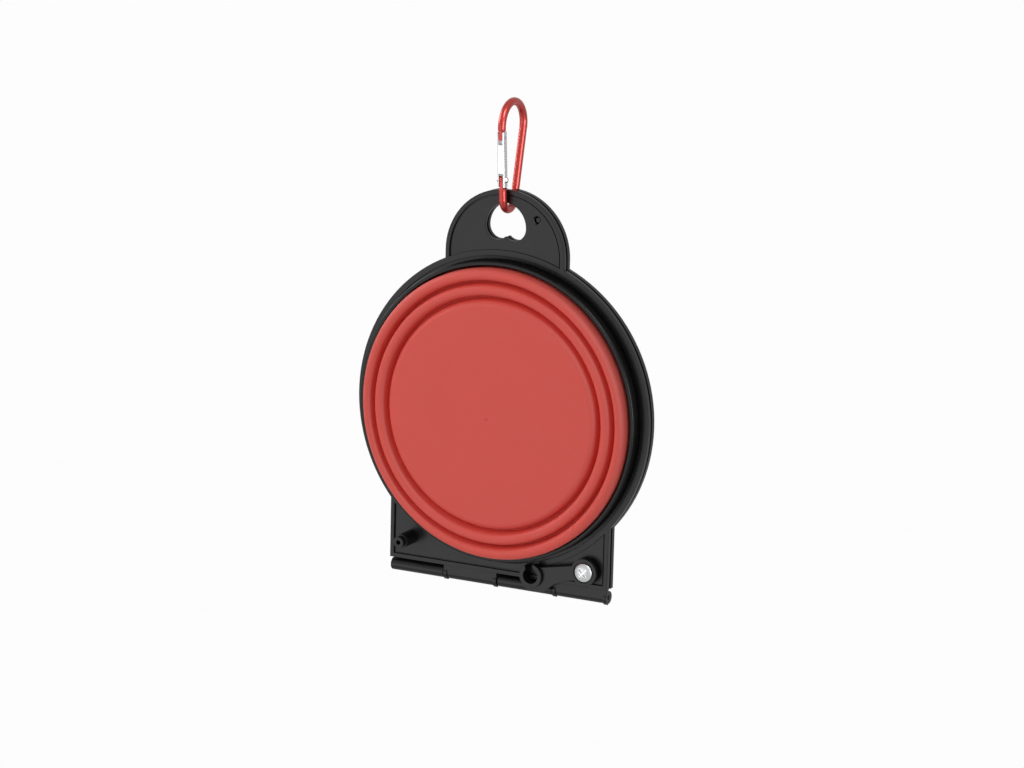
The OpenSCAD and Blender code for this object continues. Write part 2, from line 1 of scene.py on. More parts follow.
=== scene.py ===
"""Dresses the folding travel bowl: silicone bowls, plates, latches, hinge pin and carabiner."""

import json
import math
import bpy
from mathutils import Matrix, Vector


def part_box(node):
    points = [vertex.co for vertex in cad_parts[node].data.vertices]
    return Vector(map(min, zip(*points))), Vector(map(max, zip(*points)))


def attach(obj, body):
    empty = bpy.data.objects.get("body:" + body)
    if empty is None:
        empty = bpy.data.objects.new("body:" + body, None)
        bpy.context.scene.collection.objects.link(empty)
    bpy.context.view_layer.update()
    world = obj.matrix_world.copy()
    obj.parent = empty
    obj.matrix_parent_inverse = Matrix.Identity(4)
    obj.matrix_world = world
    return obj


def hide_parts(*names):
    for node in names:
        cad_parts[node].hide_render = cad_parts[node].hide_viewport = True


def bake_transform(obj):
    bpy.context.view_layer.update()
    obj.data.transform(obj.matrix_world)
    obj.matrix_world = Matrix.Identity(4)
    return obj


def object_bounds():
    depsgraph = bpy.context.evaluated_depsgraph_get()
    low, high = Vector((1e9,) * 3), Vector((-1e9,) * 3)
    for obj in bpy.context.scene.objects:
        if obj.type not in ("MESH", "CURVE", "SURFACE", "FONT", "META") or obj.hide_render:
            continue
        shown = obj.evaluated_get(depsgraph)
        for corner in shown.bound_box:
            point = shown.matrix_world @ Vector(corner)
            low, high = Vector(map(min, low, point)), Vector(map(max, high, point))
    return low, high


bl_info = {
    "name": "Folding travel bowl",
    "version": (1, 0, 0),
    "blender": (4, 5, 0),
    "location": "View3D > Sidebar > Travel bowl",
    "description": "Builds the visible pieces of a folding travel bowl round its CAD frame",
    "category": "Object",
}

from collections import namedtuple

import bmesh
import bpy
from bpy.props import FloatProperty, FloatVectorProperty, IntProperty, PointerProperty
from mathutils import Matrix, Vector

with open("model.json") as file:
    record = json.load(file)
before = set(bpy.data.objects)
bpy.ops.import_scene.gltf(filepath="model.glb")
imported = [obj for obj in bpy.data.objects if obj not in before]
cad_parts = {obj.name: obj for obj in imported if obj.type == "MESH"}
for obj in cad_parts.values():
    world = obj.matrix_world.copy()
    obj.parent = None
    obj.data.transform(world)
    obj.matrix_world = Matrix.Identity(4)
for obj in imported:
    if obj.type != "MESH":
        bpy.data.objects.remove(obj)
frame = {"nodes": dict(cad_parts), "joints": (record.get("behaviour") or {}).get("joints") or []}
CAD_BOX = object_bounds()
NODES = frame["nodes"]
JOINTS = {joint["name"]: joint for joint in frame["joints"]}
MM = 0.001
FULL_TURN = 2 * math.pi
SIDES = ("front", "back")
WALL_STEPS = (1, 2, 3)

# The hinge line lies in the plane where the plates meet; the bowls' axis stands on that plane
BASE_LOW, BASE_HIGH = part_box("front_bowl_base")
MEET_Y = JOINTS["fold"]["pos_m"][1]
BOWL_CENTRE = Vector((0, MEET_Y, (BASE_LOW.z + BASE_HIGH.z) / 2))
POP = JOINTS["front_pop"]["range_m"][1]

# Faces that meet at more than these angles, in degrees, have a crease between them
STIFF_CREASE = 32
RING_CREASE = 40
SILICONE_CREASE = 50

# CAD faces that meet at less than this angle, in degrees, become one face
FLAT_ANGLE = 0.3

# Corners nearer to each other than these become one corner
CAD_MERGE = 0.001 * MM
TURNED_MERGE = 0.002 * MM

# Faces across the rounded edge of a stiff piece, and round the backdrop
EDGE_SEGMENTS = 2
BACKDROP_SEGMENTS = 96

# Share of the wall's thickness in the bend under a groove
BEND_SHARE = 0.8
# Share of the hollow in a fold that each of its two corners rounds
HOLLOW_SHARE = 0.45
# Share of a fold's width, to each side of its middle, over which the wall rolls
ROLL_SHARE = 0.3
# Rings of corners from the middle of the moulding mark to its edge
MARK_RINGS = 4

# Width of the camera's film in mm, and how far it sees in metres
FILM_W = 36
SIGHT = 100
WHITE = (1, 1, 1)

# How a corner of a turned profile is rounded
Rounding = namedtuple("Rounding", "radius segments")
SHARP = Rounding(0, 0)

# Places and widths in metres, power in watts. A gleam shows only in reflections, the key never
Lamp = namedtuple("Lamp", "name place width power gleam")
LAMPS = (
    Lamp("key", (-0.9, -1.7, 0.9), width=1.6, power=13, gleam=False),
    Lamp("front_gleam", (-0.66, -1.3, -0.46), width=1.1, power=3.6, gleam=True),
    Lamp("top_gleam", (0.9, -0.7, 1.1), width=0.7, power=14, gleam=True),
    Lamp("right_gleam", (1.5, -0.7, -0.1), width=0.9, power=16, gleam=True),
    Lamp("left_gleam", (-1.3, -0.2, 0.4), width=0.6, power=8, gleam=True),
)


def length(name, description, default):
    """A size in metres that a user may change."""
    return FloatProperty(
        name=name, description=description, default=default, min=0, unit="LENGTH", precision=5
    )


def angle(name, description, degrees):
    """An angle that a user may change."""
    return FloatProperty(
        name=name, description=description, default=math.radians(degrees), subtype="ANGLE"
    )


def factor(name, description, default):
    """A share from nought to one that a user may change."""
    return FloatProperty(
        name=name, description=description, default=default, min=0, max=1, subtype="FACTOR"
    )


def colour(name, description, default):
    """A linear colour that a user may change."""
    return FloatVectorProperty(
        name=name, description=description, default=default, min=0, max=1, size=3, subtype="COLOR"
    )


class SiliconeSizes(bpy.types.PropertyGroup):
    """Sizes of the folded silicone wall."""

    wall_r: length("Wall radius", "Outer radius of the silicone wall", 63.3 * MM)
    wall_t: length("Wall thickness", "Thickness of the silicone wall", 1.4 * MM)
    base_t: length("Base thickness", "Thickness of the base", 1.8 * MM)
    outer_fold: length("Outer fold", "Width of the outer fold across its crest", 4.4 * MM)
    inner_fold: length("Inner fold", "Width of the inner fold across its crest", 3.8 * MM)
    outer_groove: length("Outer groove", "Width of the groove inside the outer fold", 2.7 * MM)
    inner_groove: length("Inner groove", "Width of the groove inside the inner fold", 3.0 * MM)
    crest_d: length("Crest depth", "Depth of the crests from the plates' meeting plane", 13.9 * MM)
    base_d: length("Base depth", "Depth of the base's face from the meeting plane", 13.5 * MM)
    fold_h: length("Fold height", "Height of a fold, with the wall under its groove", 7.0 * MM)
    groove_end: length("Groove's end", "Half the width of a groove at its bottom", 0.35 * MM)
    draft: length("Draft", "How far the wall leans in between the ring and its crest", 0.35 * MM)
    sag: length("Sag", "How far the hanging silicone sags at its crest", 0.5 * MM)
    oval: length("Oval", "How far the hanging outer fold stretches along its long axis", 0.45 * MM)
    oval_lean: angle("Oval's lean", "Turn of that axis from upright, its lower end to the right", 27)
    outer_round: length("Outer rounding", "Rounding of the outer fold's rim", 2.6 * MM)
    fold_round: length("Fold rounding", "Rounding of the folds towards the grooves", 1.6 * MM)
    base_round: length("Base rounding", "Rounding of the base's edge", 2.2 * MM)
    inside_round: length("Inside rounding", "Rounding of the base's edge inside the bowl", 0.8 * MM)
    foot_round: length("Foot rounding", "Rounding of the wall's foot", 0.4 * MM)
    soft_round: length("Soft rounding", "Rounding of the grooves' bottoms and the bead", 0.3 * MM)
    foot_d: length("Foot depth", "Depth of the wall's foot in the ring", 0.7 * MM)
    bead_w: length("Bead width", "Width of the bead held in the ring", 0.9 * MM)
    bead_h: length("Bead height", "Height of the bead held in the ring", 1.3 * MM)
    mark_left: length("Mark to the left", "Moulding mark's distance left of the middle", 1.4 * MM)
    mark_down: length("Mark down", "Moulding mark's distance below the middle", 2.0 * MM)
    mark_r: length("Mark radius", "Radius of the moulding mark", 0.9 * MM)
    mark_h: length("Mark depth", "Depth of the moulding mark", 0.6 * MM)
    turns: IntProperty(
        name="Turns", description="Faces round the bowl and round its ring", default=160, min=24
    )


class RingSizes(bpy.types.PropertyGroup):
    """Sizes of the rings that clamp the silicone in the plates."""

    inner_r: length("Inner radius", "Radius of the ring's inner wall", 63.8 * MM)
    wall_t: length("Wall thickness", "Thickness of the ring's wall", 1.9 * MM)
    edge_r: length("Edge rounding", "Rounding of the edges of the ring's outer face", 0.5 * MM)
    soft_round: length("Soft rounding", "Rounding of the flange and the seat", 0.12 * MM)
    crest_d: length("Crest depth", "Depth of the ring's outer face", 9.25 * MM)
    foot_d: length("Foot depth", "Depth of the ring's foot", 0.6 * MM)
    flange_w: length("Flange width", "Width of the seating flange", 1.5 * MM)
    flange_t: length("Flange thickness", "Thickness of the seating flange", 0.9 * MM)
    seat_r: length("Bead seat radius", "Radius of the seat for the silicone's bead", 64.3 * MM)
    seat_d: length("Bead seat depth", "Depth of the bottom of that seat", 2.1 * MM)


class EdgeSizes(bpy.types.PropertyGroup):
    """Widths of the rounded edges on the stiff pieces."""

    plate: length("Plate edges", "Rounding of the plates' edges", 0.22 * MM)
    arm: length("Arm edges", "Rounding of the edges of the latch arms and the hinge pin", 0.22 * MM)
    screw: length("Screw edges", "Rounding of the screws' edges", 0.1 * MM)
    gate: length("Gate edges", "Rounding of the edges of the gate, its pin and its spring", 0.1 * MM)
    rod: length("Rod edges", "Rounding of the carabiner's shoulders", 0.05 * MM)
    rivet: length("Rivet edges", "Rounding of the rivet's heads", 0.08 * MM)


class Finishes(bpy.types.PropertyGroup):
    """Colours, roughness and gloss of the pieces."""

    silicone: colour("Silicone", "Red of the silicone", (0.785, 0.094, 0.071))
    silicone_rough: factor("Silicone roughness", "Roughness of the silicone's skin", 0.53)
    plastic: colour("Plastic", "Black of the plates and latch arms", (0.006, 0.006, 0.0064))
    plastic_rough: factor("Plastic roughness", "Roughness of the plates and latch arms", 0.2)
    plastic_gloss: factor("Plastic gloss", "Gloss of the plates and latch arms", 0.41)
    ring: colour("Ring", "Black of the rim rings", (0.004, 0.004, 0.0045))
    ring_rough: factor("Ring roughness", "Roughness of the rim rings", 0.15)
    ring_gloss: factor("Ring gloss", "Gloss of the rim rings", 0.3)
    anodised: colour("Anodised rod", "Red of the carabiner's rod", (0.62, 0.045, 0.034))
    anodised_rough: factor("Rod roughness", "Roughness of the carabiner's rod", 0.35)
    screw: colour("Screws", "Plated metal of the latch screws", (0.92, 0.93, 0.94))
    screw_rough: factor("Screw roughness", "Roughness of the latch screws", 0.3)
    gate: colour("Gate", "Bright metal of the gate and its rivet", (0.84, 0.85, 0.86))
    gate_rough: factor("Gate roughness", "Roughness of the gate and its rivet", 0.26)
    steel: colour("Steel", "Steel of the gate's nose pin and spring", (0.55, 0.56, 0.58))
    steel_rough: factor("Steel roughness", "Roughness of the nose pin and the spring", 0.3)
    wire: colour("Wire", "Blackened wire of the hinge", (0.06, 0.06, 0.065))
    wire_rough: factor("Wire roughness", "Roughness of the hinge's wire", 0.34)


class StageSizes(bpy.types.PropertyGroup):
    """The photo's camera, the floor and the light from all round."""

    lens: FloatProperty(name="Lens", description="Focal length", default=112.5, unit="CAMERA")
    place: FloatVectorProperty(
        name="Place",
        description="Camera's place from the bowls' middle",
        default=(0.606205, -1.199474, 0.304991),
        subtype="TRANSLATION",
    )
    yaw: angle("Yaw", "Camera's turn to the left", 26.671)
    pitch: angle("Pitch", "Camera's tilt upwards", -12.330)
    roll: angle("Roll", "Camera's turn about its view", -1.409)
    floor_drop: length("Floor drop", "Distance of the floor below the hanging bowl", 0.26)
    room: length("Room", "Half the width of the floor and its backdrop", 8.0)
    sky: factor("Sky", "Strength of the even light from all round", 0.53)


class Value:
    """A shader socket that Python's arithmetic works on."""

    def __init__(self, finish, socket):
        self.finish = finish
        self.socket = socket

    def _math(self, operation, other):
        return self.finish.node("ShaderNodeMath", {"operation": operation}, {0: self, 1: other})

    def __add__(self, other):
        return self._math("ADD", other)

    def __mul__(self, other):
        return self._math("MULTIPLY", other)

    __radd__ = __add__
    __rmul__ = __mul__


class Finish:
    """A material in the making: one Principled shader and the nodes that feed it."""

    def __init__(self, name, constants):
        self.material = bpy.data.materials.new(name)
        self.material.use_nodes = True
        self.tree = self.material.node_tree
        self.shader = self.tree.nodes["Principled BSDF"]
        for socket, value in constants.items():
            self.set(socket, value)
        self.place = self.node("ShaderNodeTexCoord", out="Object")

    def feed(self, socket, value):
        """Links a value to a socket, or sets a plain number or colour on it."""
        if isinstance(value, Value):
            self.tree.links.new(value.socket, socket)
        else:
            socket.default_value = value

    def set(self, socket, value):
        """Feeds one of the shader's own sockets."""
        self.feed(self.shader.inputs[socket], value)

    def node(self, kind, settings=None, sockets=None, out=0):
        """A node with its settings and its sockets' values or links; gives one of its outputs."""
        made = self.tree.nodes.new(kind)
        for key, value in (settings or {}).items():
            if key == "stops":
                for stop, (where, grey) in zip(made.color_ramp.elements, value):
                    stop.position = where
                    stop.color = (grey, grey, grey, 1)
            else:
                setattr(made, key, value)
        for key, value in (sockets or {}).items():
            self.feed(made.inputs[key], value)
        return Value(self, made.outputs[out])

    def noise(self, scale, detail=2.0, stretch=(1, 1, 1)):
        """Noise of so many features a metre, stretched along the axes."""
        spread = self.node("ShaderNodeMapping", None, {"Vector": self.place, "Scale": stretch})
        sockets = {"Vector": spread, "Scale": scale, "Detail": detail}
        return self.node("ShaderNodeTexNoise", None, sockets)

    def ramp(self, value, low, high):
        """Zero under low, one over high, straight between them."""
        return self.node("ShaderNodeValToRGB", {"stops": ((low, 0), (high, 1))}, {0: value})

    def mix(self, share, first, second):
        """The first colour, with a share of the second in its place."""
        sockets = {0: share, 6: first, 7: second}
        return self.node("ShaderNodeMix", {"data_type": "RGBA"}, sockets, out=2)

    def bump(self, height, distance, strength):
        """Small relief on the whole surface."""
        sockets = {"Height": height, "Distance": distance, "Strength": strength}
        self.set("Normal", self.node("ShaderNodeBump", None, sockets))


def shade(tint, scale, lift=0.0):
    """A colour made lighter or darker, as RGBA."""
    return (*(min(1.0, channel * scale + lift) for channel in tint), 1.0)


def silicone_finish(tint, rough):
    """Matte red silicone: light bleeds through it, and its skin is a little powdery."""
    constants = {
        "Specular IOR Level": 0.46,
        "Subsurface Weight": 0.3,
        "Subsurface Radius": (1.0, 0.12, 0.08),
        "Subsurface Scale": 1.6 * MM,
    }
    finish = Finish("red_silicone", constants)
    cloud = finish.noise(scale=55, detail=3.0)
    powder = finish.noise(scale=1400, detail=3.0)
    skin = finish.noise(scale=4200)
    body = finish.mix(finish.ramp(cloud, low=0.35, high=0.68), shade(tint, 0.99), shade(tint, 1.01))
    bloom = finish.ramp(powder, low=0.52, high=0.75) * 0.2
    finish.set("Base Color", finish.mix(bloom, body, shade(tint, 0.9, lift=0.05)))
    finish.set("Roughness", rough + 0.04 * cloud + 0.08 * powder)
    finish.bump(skin * 0.06 + powder * 0.04, distance=0.2 * MM, strength=0.5)
    return finish.material


def plastic_finish(name, tint, rough, gloss):
    """Moulded black plastic: a fine spark grain, faint flow marks and handling sheen."""
    finish = Finish(name, {"Specular IOR Level": gloss})
    grain = finish.noise(scale=3600)
    flow = finish.noise(scale=38, detail=3.0, stretch=(1, 1, 0.35))
    wear = finish.noise(scale=260, detail=4.0)
    body = finish.mix(finish.ramp(flow, low=0.3, high=0.7), shade(tint, 0.8), shade(tint, 1.25))
    scuffs = finish.ramp(wear, low=0.6, high=0.8) * 0.35
    finish.set("Base Color", finish.mix(scuffs, body, shade(tint, 2.2)))
    finish.set("Roughness", rough + 0.12 * flow + 0.1 * wear)
    finish.bump(grain, distance=0.02 * MM, strength=0.35)
    return finish.material


def metal_finish(name, tint, rough, stretch, wear=1.0, coat=0.0, bare=1.0):
    """Metal with drawn or brushed lines along one axis and small handling marks.

    A dyed skin makes the metal less bare, and a sealed one gives it a clear coat.
    """
    finish = Finish(name, {"Metallic": bare, "Coat Weight": coat, "Coat Roughness": 0.12})
    lines = finish.noise(scale=2600, detail=3.0, stretch=stretch)
    marks = finish.noise(scale=700, detail=4.0)
    drawn = finish.ramp(lines, low=0.3, high=0.7) * wear
    rubs = finish.ramp(marks, low=0.62, high=0.8) * (0.3 * wear)
    dulled = finish.ramp(marks, low=0.55, high=0.8)
    body = finish.mix(drawn, shade(tint, 1.0), shade(tint, 0.86))
    finish.set("Base Color", finish.mix(rubs, body, shade(tint, 0.75)))
    finish.set("Roughness", rough + wear * (0.08 * lines + 0.1 * dulled))
    finish.bump(lines, distance=0.012 * MM, strength=0.4 * wear)
    return finish.material


def floor_finish():
    """Plain white sweep, lit from within so that no shadow falls on it."""
    constants = {
        "Base Color": (0, 0, 0, 1),
        "Roughness": 1.0,
        "Specular IOR Level": 0.0,
        "Emission Strength": 1.0,
    }
    finish = Finish("pale_floor", constants)
    fibre = finish.noise(scale=30)
    finish.set("Emission Color", finish.mix(fibre, shade(WHITE, 0.975), shade(WHITE, 0.985)))
    return finish.material


def sharpen(bm, degrees):
    """Shades the mesh smooth, with a crease where faces meet at more than an angle."""
    limit = math.radians(degrees)
    for face in bm.faces:
        face.smooth = True
    for edge in bm.edges:
        edge.smooth = not edge.is_manifold or edge.calc_face_angle(0) < limit


def piece(bm, name, material):
    """An object at the origin from a finished bmesh."""
    mesh = bpy.data.meshes.new(name)
    bm.to_mesh(mesh)
    bm.free()
    mesh.materials.append(material)
    made = bpy.data.objects.new(name, mesh)
    bpy.context.scene.collection.objects.link(made)
    return made


def round_corner(bm, corner, rounding):
    """Rounds one corner of a bare profile."""
    bmesh.ops.bevel(
        bm,
        geom=[corner],
        offset=rounding.radius,
        offset_type="OFFSET",
        segments=rounding.segments,
        profile=0.5,
        affect="VERTICES",
        clamp_overlap=False,
        material=-1,
    )


def turned_bmesh(profile, turns):
    """A body turned about the bowl's axis. The profile lists its corners' radius, depth and rounding.

    A profile that starts off the axis is a closed loop.
    """
    bm = bmesh.new()
    corners = [bm.verts.new((r, -d, 0)) for r, d, _ in profile]
    for first, second in zip(corners, corners[1:]):
        bm.edges.new((first, second))
    if profile[0][0] > 0:
        bm.edges.new((corners[-1], corners[0]))
    for corner, (_, _, rounding) in zip(corners, profile):
        if rounding.radius:
            round_corner(bm, corner, rounding)
    bmesh.ops.spin(
        bm,
        geom=bm.verts[:] + bm.edges[:],
        cent=(0, 0, 0),
        axis=(0, 1, 0),
        angle=FULL_TURN,
        steps=turns,
        use_merge=True,
    )
    bmesh.ops.remove_doubles(bm, verts=bm.verts, dist=TURNED_MERGE)
    bmesh.ops.recalc_face_normals(bm, faces=bm.faces)
    return bm


def to_side(bm, side):
    """Moves a piece drawn about the bowl's axis into the front or the back half."""
    if side == "back":
        half_turn = Matrix.Rotation(FULL_TURN / 2, 3, "Z")
        bmesh.ops.rotate(bm, verts=bm.verts, cent=(0, 0, 0), matrix=half_turn)
    bmesh.ops.translate(bm, verts=bm.verts, vec=BOWL_CENTRE)


def dressed_bmesh(node, width):
    """A merged copy of a CAD node with its outer edges rounded."""
    bm = bmesh.new()
    bm.from_mesh(NODES[node].data)
    bmesh.ops.remove_doubles(bm, verts=bm.verts, dist=CAD_MERGE)
    bmesh.ops.dissolve_limit(
        bm,
        angle_limit=math.radians(FLAT_ANGLE),
        use_dissolve_boundaries=False,
        verts=bm.verts,
        edges=bm.edges,
        delimit=set(),
    )
    limit = math.radians(STIFF_CREASE)
    outer = [e for e in bm.edges if e.is_manifold and e.is_convex and e.calc_face_angle(0) > limit]
    bmesh.ops.bevel(
        bm,
        geom=outer,
        offset=width,
        offset_type="OFFSET",
        segments=EDGE_SEGMENTS,
        profile=0.5,
        affect="EDGES",
        clamp_overlap=False,
        material=-1,
    )
    sharpen(bm, STIFF_CREASE)
    return bm


def dress(node, name, width, material, body):
    """Replaces a CAD node by a copy with rounded edges and its own finish."""
    made = piece(dressed_bmesh(node, width), name, material)
    made.modifiers.new("even_faces", "WEIGHTED_NORMAL").keep_sharp = True
    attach(made, body)
    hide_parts(node)


def fold_edges(s):
    """Radii of the wall's rim, of the edges between its folds and grooves, and of its base."""
    edges = [s.wall_r]
    for width in (s.outer_fold, s.outer_groove, s.inner_fold, s.inner_groove):
        edges.append(edges[-1] - width)
    return edges


def silicone_profile(s):
    """Corners of the folded wall, from the base's middle over the folds and back inside."""
    rim, step_1, step_2, step_3, base = fold_edges(s)
    middle_1 = (step_1 + step_2) / 2
    middle_2 = (step_3 + base) / 2
    valley_d = s.crest_d - s.fold_h
    groove_d = valley_d + s.wall_t
    under_d = s.crest_d - s.wall_t
    bead_d = s.foot_d + s.bead_h
    inside_d = s.base_d - s.base_t
    back = s.groove_end + s.wall_t

    rim_edge = Rounding(s.outer_round, segments=12)
    base_edge = Rounding(s.base_round, segments=12)
    inside_edge = Rounding(s.inside_round, segments=5)
    crest = Rounding(s.fold_round, segments=10)
    groove = Rounding(s.soft_round, segments=4)
    bead = Rounding(s.soft_round, segments=3)
    foot = Rounding(s.foot_round, segments=4)
    bend = Rounding(s.groove_end + s.wall_t * BEND_SHARE, segments=8)
    outer_hollow = Rounding((s.outer_fold - 2 * s.wall_t) * HOLLOW_SHARE, segments=6)
    inner_hollow = Rounding((s.inner_fold - 2 * s.wall_t) * HOLLOW_SHARE, segments=6)

    # Close rings of corners cross the moulding mark, and one more lies to each side of it
    mark_reach = math.hypot(s.mark_left, s.mark_down)
    mark_rings = range(-MARK_RINGS - 1, MARK_RINGS + 2)
    near_mark = [(mark_reach + s.mark_r * ring / MARK_RINGS, s.base_d, SHARP) for ring in mark_rings]
    return [
        (0, s.base_d, SHARP),
        *near_mark,
        (base / 2, s.base_d, SHARP),
        (base, s.base_d, base_edge),
        (middle_2 - s.groove_end, groove_d, groove),
        (middle_2 + s.groove_end, groove_d, groove),
        (step_3, s.crest_d, crest),
        (step_2, s.crest_d, crest),
        (middle_1 - s.groove_end, groove_d, groove),
        (middle_1 + s.groove_end, groove_d, groove),
        (step_1, s.crest_d, crest),
        (rim - s.draft, s.crest_d, rim_edge),
        (rim, bead_d, SHARP),
        (rim + s.bead_w, bead_d, bead),
        (rim + s.bead_w, s.foot_d, bead),
        (rim - s.wall_t, s.foot_d, foot),
        (rim - s.wall_t, under_d, outer_hollow),
        (step_1 + s.wall_t, under_d, outer_hollow),
        (middle_1 + back, valley_d, bend),
        (middle_1 - back, valley_d, bend),
        (step_2 - s.wall_t, under_d, inner_hollow),
        (step_3 + s.wall_t, under_d, inner_hollow),
        (middle_2 + back, valley_d, bend),
        (middle_2 - back, valley_d, bend),
        (base - s.wall_t, inside_d, inside_edge),
        (0, inside_d, SHARP),
    ]


def ring_profile(s):
    """Corners of the clamp ring, from its inner wall over the crest to the bead's seat."""
    outer_r = s.inner_r + s.wall_t
    flange_r = outer_r + s.flange_w
    flange_d = s.foot_d + s.flange_t
    edge = Rounding(s.edge_r, segments=5)
    soft = Rounding(s.soft_round, segments=2)
    return [
        (s.inner_r, s.seat_d, soft),
        (s.inner_r, s.crest_d, edge),
        (outer_r, s.crest_d, edge),
        (outer_r, flange_d, soft),
        (flange_r, flange_d, soft),
        (flange_r, s.foot_d, soft),
        (s.seat_r, s.foot_d, soft),
        (s.seat_r, s.seat_d, SHARP),
    ]


def press_mark(bm, s):
    """Presses the mould's small round mark into the base's face."""
    for vertex in bm.verts:
        across = vertex.co.x + s.mark_left
        up = vertex.co.z + s.mark_down
        share = math.hypot(across, up) / s.mark_r
        if share < 1 and vertex.co.y < s.base_t / 2 - s.base_d:
            vertex.co.y += s.mark_h * (1 - share * share)


def smooth_share(value, low, high):
    """Zero at low, one at high, eased between them."""
    t = min(1.0, max(0.0, (value - low) / (high - low)))
    return t * t * (3 - 2 * t)


def hang(bm, s):
    """Lets a silicone wall hang: it sags, and its outer fold goes oval, most at the crest."""
    rim, groove_out, groove_in, _, _ = fold_edges(s)
    fold_foot = (groove_out + groove_in) / 2
    for vertex in bm.verts:
        x, y, z = vertex.co
        share = min(1.0, abs(y) / s.crest_d)
        r = math.hypot(x, z)
        if r > fold_foot:
            turn = math.atan2(x, -z) - s.oval_lean
            stretch = s.oval * math.cos(2 * turn) * share * smooth_share(r, fold_foot, rim)
            vertex.co.x += stretch * x / r
            vertex.co.z += stretch * z / r
        vertex.co.z -= s.sag * share


def opened_depth(r, d, s):
    """Where a point of the folded wall stands when the bowl is popped open.

    The wall unrolls: the first and third steps turn over, so that depth grows from rim to base.
    """
    valley_d = s.crest_d - s.fold_h
    rise = (valley_d + POP - s.crest_d) / len(WALL_STEPS)
    valley_1 = s.crest_d + rise
    crest_2 = valley_1 + rise
    stretch = rise / s.fold_h
    step_1 = s.crest_d + (s.crest_d - d) * stretch
    step_2 = valley_1 + (d - valley_d) * stretch
    step_3 = crest_2 + (s.crest_d - d) * stretch
    base = d + POP
    edges = fold_edges(s)
    opened = d
    for outer, inner, depth in zip(edges, edges[1:], (step_1, step_2, step_3, base)):
        middle = (outer + inner) / 2
        roll = (outer - inner) * ROLL_SHARE
        opened += (depth - opened) * smooth_share(middle - r, -roll, roll)
    return opened


def silicone_weights(bm, s):
    """How far each point goes with the base: none at the rim, all of it at the base."""
    weights = []
    for vertex in bm.verts:
        r = math.hypot(vertex.co.x, vertex.co.z)
        d = -vertex.co.y
        weights.append(min(1.0, max(0.0, (opened_depth(r, d, s) - d) / POP)))
    return weights


class BOWL_OT_silicone(bpy.types.Operator):
    """Build the two collapsible silicone bowls"""

    bl_idname = "travel_bowl.silicone"
    bl_label = "Silicone bowls"

    def execute(self, context):
        sizes = context.scene.bowl_silicone
        look = context.scene.bowl_finishes
        material = silicone_finish(look.silicone, look.silicone_rough)
        for side in SIDES:
            bm = turned_bmesh(silicone_profile(sizes), sizes.turns)
            weights = silicone_weights(bm, sizes)
            press_mark(bm, sizes)
            hang(bm, sizes)
            sharpen(bm, SILICONE_CREASE)
            to_side(bm, side)
            made = piece(bm, side + "_silicone_bowl", material)
            outwards = Vector((0, -1 if side == "front" else 1, 0))
            BOWL_CENTRE + outwards * sizes.crest_d
            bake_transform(made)
            steps = [f"{side}_bowl_step_{number}" for number in WALL_STEPS]
            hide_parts(side + "_bowl_rim", side + "_bowl_base", *steps)
        return {"FINISHED"}


class BOWL_OT_plates(bpy.types.Operator):
    """Build the two black plates and their rim rings"""

    bl_idname = "travel_bowl.plates"
    bl_label = "Plates and rim rings"

    def execute(self, context):
        edges = context.scene.bowl_edges
        look = context.scene.bowl_finishes
        plastic = plastic_finish("black_plastic", look.plastic, look.plastic_rough, look.plastic_gloss)
        ring = plastic_finish("ring_plastic", look.ring, look.ring_rough, look.ring_gloss)
        for side in SIDES:
            half = side + "_half"
            dress(side + "_plate", side + "_plate_shell", edges.plate, plastic, half)
            bm = turned_bmesh(ring_profile(context.scene.bowl_ring), context.scene.bowl_silicone.turns)
            sharpen(bm, RING_CREASE)
            to_side(bm, side)
            made = piece(bm, side + "_clamp_ring", ring)
            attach(made, half)
            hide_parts(side + "_rim_ring")
        return {"FINISHED"}


class BOWL_OT_latches(bpy.types.Operator):
    """Build the latch arms, their screws and the hinge pin"""

    bl_idname = "travel_bowl.latches"
    bl_label = "Latches and hinge pin"

    def execute(self, context):
        edges = context.scene.bowl_edges
        look = context.scene.bowl_finishes
        plastic = plastic_finish("latch_plastic", look.plastic, look.plastic_rough, look.plastic_gloss)
        plated = metal_finish("plated_screw", look.screw, look.screw_rough, (1, 1, 1), wear=0.7)
        wire = metal_finish("blackened_wire", look.wire, look.wire_rough, (0.05, 1, 1))
        for side in SIDES:
            body = side + "_latch"
            dress(side + "_latch_arm", side + "_latch_lever", edges.arm, plastic, body)
            half = side + "_half"
            dress(side + "_latch_screw", side + "_latch_bolt", edges.screw, plated, half)
        dress("hinge_pin", "hinge_wire", edges.arm, wire, "front_half")
        return {"FINISHED"}


class BOWL_OT_carabiner(bpy.types.Operator):
    """Build the carabiner's rod, gate and small pins"""

    bl_idname = "travel_bowl.carabiner"
    bl_label = "Carabiner"

    def execute(self, context):
        edges = context.scene.bowl_edges
        look = context.scene.bowl_finishes
        red = metal_finish(
            "red_anodised",
            look.anodised,
            look.anodised_rough,
            (1, 1, 0.06),
            wear=0.15,
            coat=0.6,
            bare=0.6,
        )
        bright = metal_finish("brushed_gate", look.gate, look.gate_rough, (1, 1, 0.05), wear=0.6)
        steel = metal_finish("pin_steel", look.steel, look.steel_rough, (0.1, 1, 1))
        dress("carabiner_body", "carabiner_rod", edges.rod, red, "carabiner")
        dress("carabiner_gate", "gate_channel", edges.gate, bright, "gate")
        dress("gate_rivet", "gate_stud", edges.rivet, bright, "gate")
        dress("gate_nose_pin", "gate_catch", edges.gate, steel, "gate")
        dress("gate_spring", "gate_wire", edges.gate, steel, "gate")
        return {"FINISHED"}


